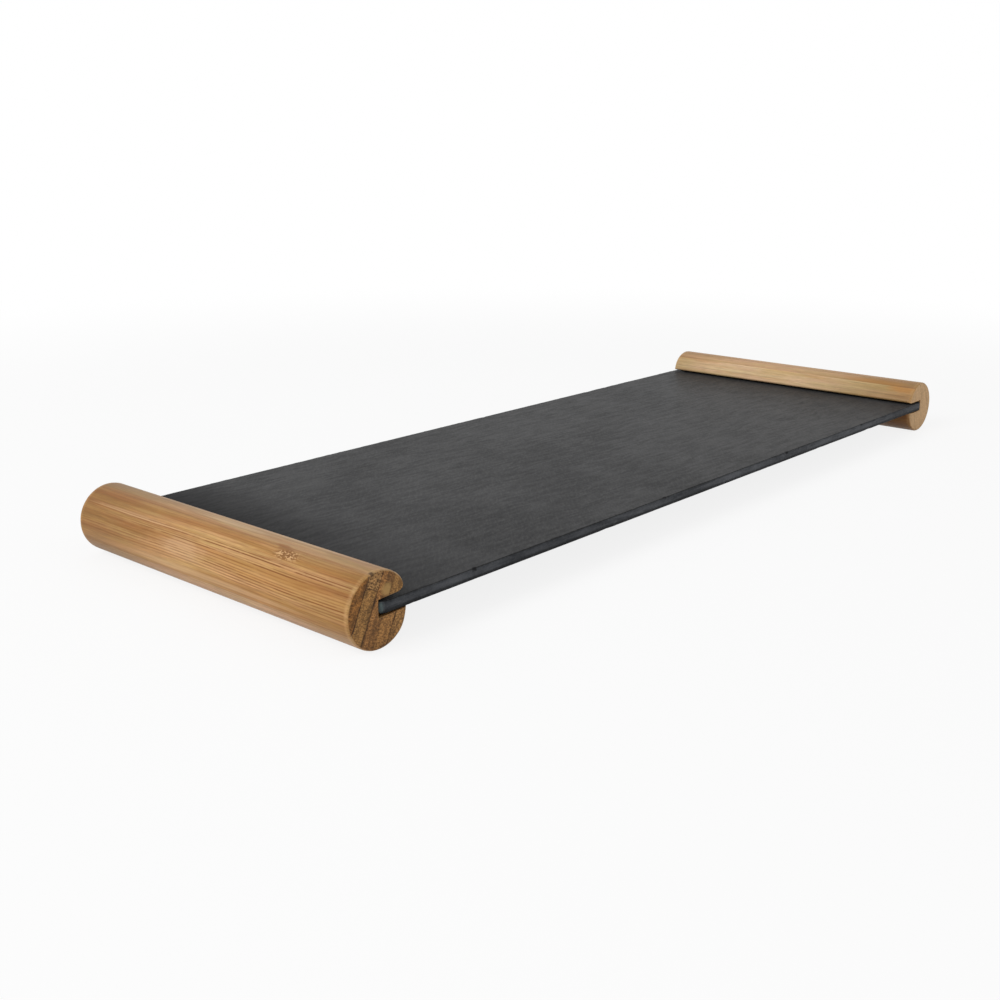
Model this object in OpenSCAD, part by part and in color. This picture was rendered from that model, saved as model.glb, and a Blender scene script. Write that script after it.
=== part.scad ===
// Slate serving board: a thin slate slab held between two slotted bamboo rods.
// X runs along the board, Y along the rods and Z up. The origin is under the middle of
// the board, on the surface that the rods stand on. All lengths are in millimetres.

/* [Board] */
// Length of the board over both rods
board_len = 488; // [360:1:620]

/* [Rods] */
// Diameter of each bamboo rod
rod_d = 30; // [28:1:34]
// Length of each bamboo rod
rod_len = 172; // [120:1:260]
// Radius of the softened rim at the ends of a rod
rod_rim_r = 1.2; // [0.5:0.1:2.5]

/* [Slate] */
// Thickness of the slate slab
slate_t = 4.5; // [3.5:0.1:5.5]
// How far each long edge of the slate stands past the ends of the rods
slate_proud = 1; // [0.3:0.1:3]
// Width of the bevel dressed along every edge of the slate
slate_bevel = 0.6; // [0.3:0.1:1.2]

/* [Slot] */
// Height of the middle of the slot above the rod's axis
slot_rise = 1; // [0:0.1:2]
// Gap between the slate and the slot's lower wall
gap_below = 0.8; // [0.4:0.05:1.5]
// Gap between the slate and the slot's upper wall
gap_above = 1; // [0.4:0.05:1.5]
// Gap between the slate's end and the slot's bottom
gap_end = 0.4; // [0.2:0.05:1]
// Radius that eases the upper lip of the slot
upper_lip_r = 2.5; // [1:0.1:3]
// Radius that eases the lower lip of the slot
lower_lip_r = 0.8; // [0.4:0.1:2]

/* [Lamination] */
// Thickness of one bamboo strip
strip_t = 6.1; // [5.4:0.1:6.6]
// Lean of the glue lines from upright, towards the slate at the top, in degrees
strip_lean = 25; // [15:1:35]
// Distance from the rod's axis, where the slot ends, back to the glue line behind it
strip_behind = 3.7; // [3:0.1:4.4]
// Place of the joint in the core strip, measured up the strip from the rod's axis
core_joint = 6.6; // [4:0.1:8]

/* [Adhesive] */
// Depth of the adhesive bed, from the slot's bottom towards its mouth
bed_depth = 8; // [4:0.5:9]
// How far the adhesive bed stays back from the ends of a rod
bed_setback = 6; // [2:0.5:20]

/* [Hidden] */
$fn = 96;

// Overrun that carries every cut clear of the faces that it goes through
overrun = 1;
// The two ends of the board, as signs along X
left = -1;
right = 1;

// Rods: a rod's own frame has its axis on Y and its slot towards +X
rod_r = rod_d / 2;
axis_x = board_len / 2 - rod_r;
cut_len = rod_len + 2 * overrun;
cut_r = rod_r + overrun;

// Slot, in the rod's own frame: it runs in from the side to a bottom on the rod's axis
slot_h = gap_below + slate_t + gap_above;
slot_floor = 0;
slot_low = slot_rise - slot_h / 2;
slot_high = slot_rise + slot_h / 2;

// Slate
slate_len = 2 * (axis_x - slot_floor - gap_end);
slate_w = rod_len + 2 * slate_proud;
slate_mid_z = slot_low + gap_below + slate_t / 2;

// Glue planes, each as a distance from the rod's axis, square to the planes
glue_core = -strip_behind;
glue_back = glue_core - strip_t;
glue_lip = glue_core + strip_t;
glue_edge = glue_lip + strip_t;

// Colours of slate, bamboo and adhesive
slate_tone = "#4b4b4d";
bamboo_tone = "#c89a63";
bamboo_deep_tone = "#b4834c";
bamboo_pale_tone = "#d9b27c";
adhesive_tone = "#2b2a28";

// Half of a rod's outline, to be spun about its axis
module rod_outline() {
    translate([0, -rod_len / 2])
        square([rod_r - rod_rim_r, rod_len]);
    translate([0, rod_rim_r - rod_len / 2])
        square([rod_r, rod_len - 2 * rod_rim_r]);
    for (end = [left, right])
        translate([rod_r - rod_rim_r, end * (rod_len / 2 - rod_rim_r)])
            circle(rod_rim_r);
}

// What is sanded off a lip: the corner outside an arc that touches the slot's wall and the rod
module lip_offcut(wall, lip_r) {
    mid_y = wall + lip_r;
    mid_r = rod_r - lip_r;
    mid = [sqrt(mid_r * mid_r - mid_y * mid_y), mid_y];
    difference() {
        polygon([mid, mid * cut_r / mid_r, [cut_r, wall], [mid.x, wall]]);
        translate(mid)
            circle(lip_r);
    }
}

// Section of everything that is cut out of a rod on its inner side
module slot_section() {
    translate([slot_floor, slot_low])
        square([cut_r - slot_floor, slot_h]);
    lip_offcut(slot_high, upper_lip_r);
    mirror([0, 1])
        lip_offcut(-slot_low, lower_lip_r);
}

// One whole rod, turned round and slotted along its length
module slotted_rod() {
    difference() {
        rotate([90, 0, 0])
            rotate_extrude()
                rod_outline();
        rotate([90, 0, 0])
            linear_extrude(height = cut_len, center = true)
                slot_section();
    }
}

// Block between two glue planes, and between two places along the strips, from the rod's axis
module glue_block(from, to, bottom = -cut_r, top = cut_r) {
    rotate([0, strip_lean, 0])
        translate([from, -cut_len / 2, bottom])
            cube([to - from, cut_len, top - bottom]);
}

// Block on one side of the slot, which parts the upper lip from the lower one
module slot_side_block(low, high) {
    translate([slot_floor, -cut_len / 2, low])
        cube([cut_r - slot_floor, cut_len, high - low]);
}

// Puts a piece made in the rod's own frame at the left or right end of the board
module at_end(side) {
    translate([side * axis_x, 0, rod_r])
        rotate([0, 0, side == right ? 180 : 0])
            children();
}

// Outermost strip, on the side away from the slate
module back_strip(side) {
    color(bamboo_tone)
        at_end(side)
            intersection() {
                slotted_rod();
                glue_block(-cut_r, glue_back);
            }
}

// Upper piece of the core strip, above its joint
module core_strip_upper(side) {
    color(bamboo_deep_tone)
        at_end(side)
            intersection() {
                slotted_rod();
                glue_block(glue_back, glue_core, bottom = core_joint);
            }
}

// Lower piece of the core strip, below its joint
module core_strip_lower(side) {
    color(bamboo_tone)
        at_end(side)
            intersection() {
                slotted_rod();
                glue_block(glue_back, glue_core, top = core_joint);
            }
}

// Middle strip, which the bottom of the slot is cut into
module slot_strip(side) {
    color(bamboo_pale_tone)
        at_end(side)
            intersection() {
                slotted_rod();
                glue_block(glue_core, glue_lip);
            }
}

// Strip above the slot, whose corner is eased for the fingers
module upper_lip(side) {
    color(bamboo_tone)
        at_end(side)
            intersection() {
                slotted_rod();
                glue_block(glue_lip, cut_r);
                slot_side_block(slot_rise, cut_r);
            }
}

// Strip below the slot
module lower_lip(side) {
    color(bamboo_tone)
        at_end(side)
            intersection() {
                slotted_rod();
                glue_block(glue_lip, glue_edge);
                slot_side_block(-cut_r, slot_rise);
            }
}

// Innermost strip below the slot
module lower_edge(side) {
    color(bamboo_deep_tone)
        at_end(side)
            intersection() {
                slotted_rod();
                glue_block(glue_edge, cut_r);
                slot_side_block(-cut_r, slot_rise);
            }
}

// Outline of a plate seen on edge, with its four corners bevelled
module bevelled_edge(width) {
    half_w = width / 2;
    half_t = slate_t / 2;
    flat_w = half_w - slate_bevel;
    flat_t = half_t - slate_bevel;
    polygon([
        [-half_w, -flat_t], [-flat_w, -half_t], [flat_w, -half_t], [half_w, -flat_t],
        [half_w, flat_t], [flat_w, half_t], [-flat_w, half_t], [-half_w, flat_t]
    ]);
}

// The slate, with its middle at the origin
module slate_body() {
    intersection() {
        rotate([90, 0, 0])
            linear_extrude(height = slate_w + 2 * overrun, center = true)
                bevelled_edge(slate_len);
        rotate([90, 0, 90])
            linear_extrude(height = slate_len + 2 * overrun, center = true)
                bevelled_edge(slate_w);
    }
}

// The slate slab that food is served on, with both short ends in the slots
module slate_slab() {
    color(slate_tone)
        translate([0, 0, rod_r + slate_mid_z])
            slate_body();
}

// Adhesive that fills the bottom of a slot round the slate's end
module adhesive(side) {
    bed_len = rod_len - 2 * bed_setback;
    color(adhesive_tone)
        at_end(side)
            difference() {
                translate([slot_floor, -bed_len / 2, slot_low])
                    cube([bed_depth, bed_len, slot_h]);
                translate([axis_x, 0, slate_mid_z])
                    slate_body();
            }
}

slate_slab();
back_strip(left);  // left_back_strip
core_strip_upper(left);  // left_core_strip_upper
core_strip_lower(left);  // left_core_strip_lower
slot_strip(left);  // left_slot_strip
upper_lip(left);  // left_upper_lip
lower_lip(left);  // left_lower_lip
lower_edge(left);  // left_lower_edge
adhesive(left);  // left_adhesive
back_strip(right);  // right_back_strip
core_strip_upper(right);  // right_core_strip_upper
core_strip_lower(right);  // right_core_strip_lower
slot_strip(right);  // right_slot_strip
upper_lip(right);  // right_upper_lip
lower_lip(right);  // right_lower_lip
lower_edge(right);  // right_lower_edge
adhesive(right);  // right_adhesive
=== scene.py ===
# %% [markdown]
# # A slate serving board with bamboo rods
# A thin slab of dark slate lies between two round bamboo rods. Each rod is slotted along its
# inner side, and the ends of the slate are glued into the slots, so the slab floats above the
# table. This lesson dresses the board's construction model: it draws the rods strip by strip,
# chips the edges of the slate and gives each surface the finish of its real material.

# %% Load the construction model
import math

import bmesh
import bpy
from mathutils import Matrix, Vector, noise


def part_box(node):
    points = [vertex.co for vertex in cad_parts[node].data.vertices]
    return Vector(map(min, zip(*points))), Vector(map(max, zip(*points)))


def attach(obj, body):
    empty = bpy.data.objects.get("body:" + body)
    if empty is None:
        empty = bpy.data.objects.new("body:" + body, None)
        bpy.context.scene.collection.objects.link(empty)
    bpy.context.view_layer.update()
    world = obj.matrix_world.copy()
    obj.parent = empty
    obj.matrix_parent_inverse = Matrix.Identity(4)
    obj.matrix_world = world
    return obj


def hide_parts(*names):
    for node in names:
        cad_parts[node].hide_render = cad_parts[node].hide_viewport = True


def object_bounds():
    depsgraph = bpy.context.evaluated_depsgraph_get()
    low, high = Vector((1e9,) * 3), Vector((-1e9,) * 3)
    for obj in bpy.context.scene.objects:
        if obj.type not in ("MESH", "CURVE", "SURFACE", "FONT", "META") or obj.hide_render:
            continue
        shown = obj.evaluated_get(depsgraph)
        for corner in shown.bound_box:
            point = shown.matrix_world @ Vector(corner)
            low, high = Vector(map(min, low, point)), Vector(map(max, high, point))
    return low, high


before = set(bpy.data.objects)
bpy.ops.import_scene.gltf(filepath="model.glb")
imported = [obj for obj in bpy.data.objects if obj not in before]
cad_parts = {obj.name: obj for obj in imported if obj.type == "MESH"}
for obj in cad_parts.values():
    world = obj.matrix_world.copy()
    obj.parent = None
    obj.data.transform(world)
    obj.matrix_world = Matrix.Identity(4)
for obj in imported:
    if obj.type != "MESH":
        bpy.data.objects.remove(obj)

cad_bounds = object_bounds()
print("construction model:", len(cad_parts), "nodes, size in mm",
      [round(1000 * side, 1) for side in cad_bounds[1] - cad_bounds[0]])

# %% [markdown]
# Blender works in metres, but a maker thinks in millimetres. One constant turns the one into
# the other, so that every size below can be read as it would be measured on the bench.

# %% Units and colours
MM = 0.001


def linear(hex_colour):
    """Turns an sRGB hex colour, as a paint chart gives it, into the linear colour that a shader needs."""
    shares = [int(hex_colour[i:i + 2], 16) / 255 for i in (1, 3, 5)]
    return [s / 12.92 if s <= 0.04045 else ((s + 0.055) / 1.055) ** 2.4 for s in shares] + [1.0]


print("a mid grey in linear light:", round(linear("#808080")[0], 3))


# %% [markdown]
# The sizes of the rods, the slot and the slate are read from the construction model, so the
# finished pieces always fit it. Only the lean of the glue lines can't be read from a box. It
# is given here, and the reach of a strip along that lean then gives the glue planes.

# %% Sizes read from the construction model
STRIP_LEAN = math.radians(25)
ACROSS = Vector((math.cos(STRIP_LEAN), 0, -math.sin(STRIP_LEAN)))
UP_STRIP = Vector((math.sin(STRIP_LEAN), 0, math.cos(STRIP_LEAN)))

rod_radius = (cad_bounds[1].z - cad_bounds[0].z) / 2
axis_x = cad_bounds[1].x - rod_radius
rod_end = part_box("left_back_strip")[1].y
slot_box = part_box("left_adhesive")
slot_low = slot_box[0].z - rod_radius
slot_high = slot_box[1].z - rod_radius
slate_low, slate_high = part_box("slate_slab")
left_axis = Vector((-axis_x, 0, rod_radius))


def reach(node, direction):
    """How far a node of the left rod reaches each way from the rod's axis along a direction."""
    places = [(v.co - left_axis).dot(direction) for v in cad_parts[node].data.vertices]
    return min(places), max(places)


glue_back = reach("left_back_strip", ACROSS)[1]
glue_core, glue_lip = reach("left_slot_strip", ACROSS)
glue_edge = reach("left_lower_lip", ACROSS)[1]
core_joint = reach("left_core_strip_upper", UP_STRIP)[0]
strip_thick = glue_core - glue_back
print("glue planes from the rod's axis in mm:",
      [round(g / MM, 2) for g in (glue_back, glue_core, glue_lip, glue_edge)])

# %% [markdown]
# The camera stands low at one corner of the board, at about the height of a seated guest's
# eyes, so that the long slab runs away from it. Its place and turn are given in the same frame
# as the board. A focal length in pixels suits a square frame of a thousand pixels, and is
# turned into the millimetres of a 36 mm sensor.

# %% Camera
FRAME_PX = 1000
FOCAL_PX = 1251
SENSOR_MM = 36
CAMERA_PLACE = Vector((-512.0, -390.9, 178.3)) * MM
CAMERA_YAW = math.radians(41.25)
CAMERA_PITCH = math.radians(-16.46)
CAMERA_ROLL = math.radians(0.13)


def make_camera():
    """A camera that looks along its yaw and pitch, rolled a little about its line of sight."""
    data = bpy.data.cameras.new("camera")
    data.sensor_width = SENSOR_MM
    data.lens = FOCAL_PX / FRAME_PX * SENSOR_MM
    camera = bpy.data.objects.new("camera", data)
    bpy.context.scene.collection.objects.link(camera)
    ahead = Vector((
        math.cos(CAMERA_PITCH) * math.cos(CAMERA_YAW),
        math.cos(CAMERA_PITCH) * math.sin(CAMERA_YAW),
        math.sin(CAMERA_PITCH),
    ))
    turn = ahead.to_track_quat("-Z", "Y").to_matrix().to_4x4()
    roll = Matrix.Rotation(CAMERA_ROLL, 4, "Z")
    camera.matrix_world = Matrix.Translation(CAMERA_PLACE) @ turn @ roll
    return camera


camera = make_camera()
bpy.context.scene.camera = camera
bpy.context.scene.view_settings.view_transform = "Standard"
print("lens:", round(camera.data.lens, 1), "mm")

# %% [markdown]
# A material is a small network of nodes. One helper adds any node: it takes the settings as
# keywords and the inputs as a dictionary. An input can be a plain value, an output socket, or
# another node, whose output is then linked. With it, each finish below reads like a recipe.

# %% One helper that adds a node


def add(tree, kind, inputs=None, **settings):
    """Adds a node of a kind, with its settings, its values and its links, and returns it."""
    node = tree.nodes.new("ShaderNode" + kind)
    for name, value in settings.items():
        setattr(node, name, value)
    for key, value in (inputs or {}).items():
        if isinstance(value, bpy.types.Node):
            value = next(output for output in value.outputs if output.enabled)
        if isinstance(value, bpy.types.NodeSocket):
            tree.links.new(value, node.inputs[key])
        else:
            node.inputs[key].default_value = value
    return node


# The sockets of a Mix node for colours: its share, its first colour and its second one
SHARE, FIRST, SECOND = 0, 6, 7
# The setting of a MapRange node that eases both ends of its range
EASED = {"interpolation_type": "SMOOTHSTEP"}


def new_material(name):
    """A material and its node tree, which is still empty."""
    material = bpy.data.materials.new(name)
    material.use_nodes = True
    material.node_tree.nodes.clear()
    return material, material.node_tree


# %% [markdown]
# A piece is shaped in a bmesh, which is a workbench for a mesh. The finished mesh gets its
# materials, and an object at the origin carries it, so its patterns stay where they are drawn.

# %% One helper that finishes a piece


def finished_piece(bm, name, *materials):
    """Puts a shaped bmesh into the scene as an object with its materials, and returns it."""
    mesh = bpy.data.meshes.new(name)
    bm.to_mesh(mesh)
    bm.free()
    for material in materials:
        mesh.materials.append(material)
    piece = bpy.data.objects.new(name, mesh)
    bpy.context.scene.collection.objects.link(piece)
    return piece


# %% [markdown]
# The studio is plain: a pale floor, an even sky and two large soft boxes. The sky and the floor
# should look white to the camera without pouring more light on the board. A Light Path node
# tells the rays apart: rays of the camera, and those that gloss mirrors, meet a full white, and
# the rays that light the surfaces meet a weaker sky. The floor mixes a matt white with such a
# glow, and keeps the board's soft shadow.

# %% Studio
SKY_STRENGTH = 0.5
SKY_WHITE, FLOOR_WHITE = "#ffffff", "#f4f4f4"
FLOOR_HALF = 6.0
FLOOR_DROP = 0.05 * MM
# The floor's glow near the board, and the distances in metres between which it grows to full
FLOOR_GLOW_NEAR = 0.85
FADE_FROM, FADE_TO = 0.35, 0.9


def seen_ray(tree):
    """One for the camera's rays and for the rays that gloss and glass send on, else nothing."""
    path = add(tree, "LightPath")
    either = add(tree, "Math", {0: path.outputs["Is Camera Ray"], 1: path.outputs["Is Glossy Ray"]},
                 operation="MAXIMUM")
    return add(tree, "Math", {0: either, 1: path.outputs["Is Transmission Ray"]}, operation="MAXIMUM")


def make_sky():
    """An even sky that is white where it is seen and weaker where it lights."""
    world = bpy.data.worlds.new("studio_sky")
    bpy.context.scene.world = world
    world.use_nodes = True
    tree = world.node_tree
    tree.nodes.clear()
    strength = add(tree, "MapRange", {"Value": seen_ray(tree), "To Min": SKY_STRENGTH, "To Max": 1.0})
    sky = add(tree, "Background", {"Color": linear(SKY_WHITE), "Strength": strength})
    add(tree, "OutputWorld", {"Surface": sky})


def make_floor():
    """A wide matt floor just under the rods, which fades into the white of the sky."""
    material, tree = new_material("matt_white_floor")
    matt = add(tree, "BsdfDiffuse", {"Color": linear(FLOOR_WHITE)})
    glow = add(tree, "Emission", {"Color": linear(SKY_WHITE), "Strength": 1.0})
    coordinates = add(tree, "TexCoord")
    away = add(tree, "VectorMath", {0: coordinates.outputs["Object"]}, operation="LENGTH")
    faded = add(tree, "MapRange", {"Value": away, "From Min": FADE_FROM, "From Max": FADE_TO,
                                   "To Min": FLOOR_GLOW_NEAR}, **EASED)
    share = add(tree, "Math", {0: seen_ray(tree), 1: faded}, operation="MULTIPLY")
    mixed = add(tree, "MixShader", {0: share, 1: matt, 2: glow})
    add(tree, "OutputMaterial", {"Surface": mixed})
    bm = bmesh.new()
    bmesh.ops.create_grid(bm, x_segments=1, y_segments=1, size=FLOOR_HALF)
    bmesh.ops.translate(bm, verts=bm.verts, vec=(0, 0, -FLOOR_DROP))
    floor = finished_piece(bm, "floor", material)


def make_soft_box(name, place, size, watts):
    """A square area lamp that faces the middle of the board."""
    data = bpy.data.lights.new(name, "AREA")
    data.shape = "SQUARE"
    data.size = size
    data.energy = watts
    lamp = bpy.data.objects.new(name, data)
    bpy.context.scene.collection.objects.link(lamp)
    lamp.location = place
    lamp.rotation_euler = (-Vector(place)).to_track_quat("-Z", "Y").to_euler()


make_sky()
make_floor()
make_soft_box("key_soft_box", place=(-1.6, 0.35, 1.3), size=1.0, watts=20)
make_soft_box("fill_soft_box", place=(0.6, -1.8, 1.4), size=1.2, watts=3)
print("studio: sky, floor and two soft boxes")

# %% [markdown]
# ## Bamboo
# Laminated bamboo is made of strips split from the culm, planed and glued. Through each strip
# run vascular bundles, thin brown tubes of fibre in a pale ground. The rod's side cuts along
# them and shows fine dark lines about a millimetre apart. Its end cuts across them and shows
# dots. So the pattern is made solid, and both looks come from one pattern by themselves. For
# that, each strip needs coordinates in millimetres that follow it: X across the strip's
# thickness, Y along the rod and Z up the strip.

# %% Coordinates that follow a strip
IN_MM = (1 / MM, 1 / MM, 1 / MM)
NOISE_MEAN = (0.5, 0.5, 0.5)
# Every triple of a strip goes across it, along it and up it. The fibres bend by about a
# millimetre to each side, and the noise that bends them has this many waves per mm
BEND_MM = (2.2, 0, 2.2)
BEND_WAVES = (0.06, 0.012, 0.06)


def strip_coordinates(tree, side, shift):
    """The strip's own coordinates in mm, and the same ones moved and bent to vary the pattern."""
    turn = Matrix.Rotation(-STRIP_LEAN, 3, "Y") @ Matrix.Rotation(math.pi if side > 0 else 0, 3, "Z")
    start = -(turn @ Vector((side * axis_x, 0, rod_radius))) / MM
    coordinates = add(tree, "TexCoord")
    in_mm = add(tree, "Mapping", {
        "Vector": coordinates.outputs["Object"], "Location": start, "Rotation": turn.to_euler(),
        "Scale": IN_MM})
    moved = add(tree, "VectorMath", {0: in_mm, 1: shift}, operation="ADD")
    slow = add(tree, "VectorMath", {0: moved, 1: BEND_WAVES}, operation="MULTIPLY")
    bend = add(tree, "TexNoise", {"Vector": slow, "Scale": 1.0, "Detail": 1.0})
    centred = add(tree, "VectorMath", {0: bend.outputs["Color"], 1: NOISE_MEAN}, operation="SUBTRACT")
    bent = add(tree, "VectorMath", {0: centred, 1: BEND_MM, 2: moved}, operation="MULTIPLY_ADD")
    return coordinates, in_mm, bent


# %% [markdown]
# On the sawn end the bundles are dots: the middles of flat Voronoi cells about a millimetre wide,
# in the plane across the strip. On the side they are lines. Bundles grow in rows, so a row that
# lies along the surface gives evenly spaced lines, and a Voronoi pattern of one dimension,
# counted across the rows, draws just that. Each line has a strength of its own and breaks up
# into dashes of its own, because the colour of its Voronoi cell moves it to another part of the
# noise. The slow bend of the coordinates lets it wander, and whole groups fade and return.

# %% The fibre bundles
# Where a dot or a line ends and where it is full, as shares of the pitch from its middle
DOT_ENDS, DOT_FULL = 0.4, 0.16
LINE_ENDS, LINE_FULL = 0.34, 0.08
# Waves per mm of the noises that break the lines into dashes of some 14 mm, and that fade groups
# of them over some 70 mm, and how many waves the colour of its cell moves a line
DASH_WAVES = (0.2, 0.07, 0.2)
GROUP_WAVES = (0.2, 0.014, 0.2)
OWN_DASHES = (9, 9, 9)
# Places along the rod in mm between which the lines grow fainter
LINES_FADE_FROM, LINES_FADE_TO = -20, 75
# Half the width in mm of the zone of strong lines, where a look gives none, and its soft edge
WHOLE_STRIP = 40
ZONE_EDGE = 5


def bundle_dots(tree, bent, pitch):
    """How much of a dot a place on the end belongs to."""
    apart = add(tree, "SeparateXYZ", {0: bent})
    across = add(tree, "CombineXYZ", {"X": apart.outputs["X"], "Y": apart.outputs["Z"]})
    nearest = add(tree, "TexVoronoi", {"Vector": across, "Scale": 1 / pitch, "Randomness": 0.85},
                  voronoi_dimensions="2D")
    return add(tree, "MapRange", {"Value": nearest, "From Min": DOT_ENDS, "From Max": DOT_FULL}, **EASED)


def line_zone(tree, in_mm, look):
    """Two gains of the lines: by their place up the strip, and by their place along it."""
    own = add(tree, "SeparateXYZ", {0: in_mm})
    off = add(tree, "Math", {0: own.outputs["Z"], 1: look.get("lines_at", 0)}, operation="SUBTRACT")
    off_size = add(tree, "Math", {0: off}, operation="ABSOLUTE")
    wide = look.get("lines_within", WHOLE_STRIP)
    up = add(tree, "MapRange", {"Value": off_size, "From Min": wide + ZONE_EDGE, "From Max": wide,
                                "To Min": 0.3}, **EASED)
    along = add(tree, "MapRange", {"Value": own.outputs["Y"], "From Min": LINES_FADE_TO,
                                   "From Max": LINES_FADE_FROM, "To Min": 0.55})
    return up, along


def bundle_lines(tree, in_mm, bent, look):
    """How strongly a line shows at each place on the side."""
    row = add(tree, "VectorMath", {0: bent, 1: look["rows"]}, operation="DOT_PRODUCT")
    nearest = add(tree, "TexVoronoi", {"W": row, "Scale": 1 / look["spacing"], "Randomness": 0.6},
                  voronoi_dimensions="1D")
    line = add(tree, "MapRange", {"Value": nearest, "From Min": LINE_ENDS, "From Max": LINE_FULL}, **EASED)
    dice = add(tree, "SeparateColor", {0: nearest.outputs["Color"]})
    single = add(tree, "MapRange", {"Value": dice, "From Min": 0.1, "From Max": 0.7, "To Min": 0.5})
    drawn_out = add(tree, "VectorMath", {0: bent, 1: DASH_WAVES}, operation="MULTIPLY")
    own_way = add(tree, "VectorMath", {0: nearest.outputs["Color"], 1: OWN_DASHES, 2: drawn_out},
                  operation="MULTIPLY_ADD")
    broken = add(tree, "TexNoise", {"Vector": own_way, "Scale": 1.0, "Detail": 3.0, "Roughness": 0.6})
    dashes = add(tree, "MapRange", {"Value": broken, "From Min": 0.36, "From Max": 0.52, "To Min": 0.4},
                 **EASED)
    grouped = add(tree, "VectorMath", {0: bent, 1: GROUP_WAVES}, operation="MULTIPLY")
    groups = add(tree, "TexNoise", {"Vector": grouped, "Scale": 1.0, "Detail": 3.0, "Roughness": 0.6})
    group = add(tree, "MapRange", {"Value": groups, "From Min": 0.34, "From Max": 0.5, "To Min": 0.6},
                **EASED)
    for gain in (single, dashes, *line_zone(tree, in_mm, look), group):
        line = add(tree, "Math", {0: line, 1: gain}, operation="MULTIPLY")
    return line


# %% [markdown]
# The ground between the bundles isn't even either. Broad bands of paler and deeper gold run
# along the strip, soft amber clouds cross them, and long single fibres and short flecks lie
# over everything. Each is a noise drawn out along the strip by its own amount, and one more
# shifts the hue from olive to rose, as fresh and ripe culms differ. The rod is palest a little
# off its middle and deeper towards its ends.

# %% The ground tone of a strip
# The noises of the ground: waves per mm, detail and roughness. Bands are some 3 mm wide and
# 170 mm long, clouds 5 by 60 mm, fibres 0.4 by 25 mm and flecks 0.7 by 8 mm
GROUND_NOISES = {
    "bands": ((0.3, 0.006, 0.3), 3.0, 0.5),
    "clouds": ((0.2, 0.016, 0.2), 4.0, 0.6),
    "hues": ((0.286, 0.0312, 0.286), 3.0, 0.5),
    "fibres": ((2.6, 0.04, 2.6), 4.0, 0.7),
    "flecks": ((1.5, 0.13, 1.5), 3.0, 0.65),
}
# How dark and how bright the fibres and the flecks make the ground
FINE_GAINS = {"fibres": (0.8, 1.14), "flecks": (0.88, 1.12)}
# The palest place along the rod in mm, and how far from it the deeper tint of the ends begins and is full
PALEST_Y = -20
DEEPER_FROM, DEEPER_TO = 20, 105
MIDDLE_TINT = (1, 1, 1, 1)
ENDS_TINT = (0.58, 0.51, 0.36, 1)
OLIVE_TINT = (0.98, 1.015, 0.95, 1)
ROSY_TINT = (1.03, 0.99, 1.04, 1)


def ground_noises(tree, bent):
    """The noises of the ground by name, each drawn out along the strip by its own amount."""
    noises = {}
    for name, (waves, detail, roughness) in GROUND_NOISES.items():
        drawn_out = add(tree, "VectorMath", {0: bent, 1: waves}, operation="MULTIPLY")
        noises[name] = add(tree, "TexNoise", {
            "Vector": drawn_out, "Scale": 1.0, "Detail": detail, "Roughness": roughness})
    return noises


def tint_towards_ends(tree, in_mm):
    """The tint that deepens the rod's colour towards its ends."""
    own = add(tree, "SeparateXYZ", {0: in_mm})
    off = add(tree, "Math", {0: own.outputs["Y"], 1: PALEST_Y}, operation="SUBTRACT")
    off_size = add(tree, "Math", {0: off}, operation="ABSOLUTE")
    towards_ends = add(tree, "MapRange", {"Value": off_size, "From Min": DEEPER_FROM, "From Max": DEEPER_TO},
                  **EASED)
    return add(tree, "Mix", {SHARE: towards_ends, FIRST: MIDDLE_TINT, SECOND: ENDS_TINT}, data_type="RGBA")


def ground_tone(tree, in_mm, bent, look):
    """The fibres, and the ground's colour: the three colours of a look, tinted and streaked."""
    noises = ground_noises(tree, bent)
    band = add(tree, "MapRange", {"Value": noises["bands"], "From Min": 0.38, "From Max": 0.62}, **EASED)
    banded = add(tree, "Mix", {SHARE: band, FIRST: linear(look["deep"]), SECOND: linear(look["pale"])},
                 data_type="RGBA")
    cloud = add(tree, "MapRange", {"Value": noises["clouds"], "From Min": 0.48, "From Max": 0.68,
                                   "To Max": 0.6}, **EASED)
    colour = add(tree, "Mix", {SHARE: cloud, FIRST: banded, SECOND: linear(look["amber"])}, data_type="RGBA")
    hue = add(tree, "MapRange", {"Value": noises["hues"], "From Min": 0.4, "From Max": 0.6})
    hue_tint = add(tree, "Mix", {SHARE: hue, FIRST: OLIVE_TINT, SECOND: ROSY_TINT}, data_type="RGBA")
    for tint in (hue_tint, tint_towards_ends(tree, in_mm)):
        colour = add(tree, "VectorMath", {0: colour, 1: tint}, operation="MULTIPLY")
    for name, (dark, bright) in FINE_GAINS.items():
        gain = add(tree, "MapRange", {"Value": noises[name], "From Min": 0.3, "From Max": 0.7,
                                      "To Min": dark, "To Max": bright})
        colour = add(tree, "VectorMath", {0: colour, "Scale": gain}, operation="SCALE")
    return noises["fibres"], colour


# %% [markdown]
# The sawn end drinks more lacquer than the side and turns a deep brown, with the bundles as
# dark dots. How far a place faces along the rod says how much of this end tone it gets. The
# rounded rim between the two, and the last few millimetres beside it, are rubbed paler than
# either. Dark lines mark the glue: they lie on the same planes that split the strips, and are
# stronger on the end, where the joint has opened and painted shade of the open joint joins the
# glue's colour. The joint that runs through the slot's lips was clamped best and hardly shows.

# %% The end grain and the glue lines
RIM_R = 1.2 * MM
RUBBED_MM = 2.8
# How squarely a place faces along the rod where the end's tone begins, and where it is full
END_BEGINS, END_FULL = 0.66, 0.95
# Waves per mm of the end's soft layers and of its coarse mottle, and how far they change its tone
LAYER_WAVES = (0.55, 0.1, 0.13)
MOTTLE_WAVES = (0.75, 0.2, 1.3)
END_SWING = 0.34
DOT_BROWN = "#3f270f"
# A glue line's width in mm, widened with painted shade beside the joints
GLUE_LINE_MM = 0.55
GLUE_WAVES = 0.2
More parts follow.
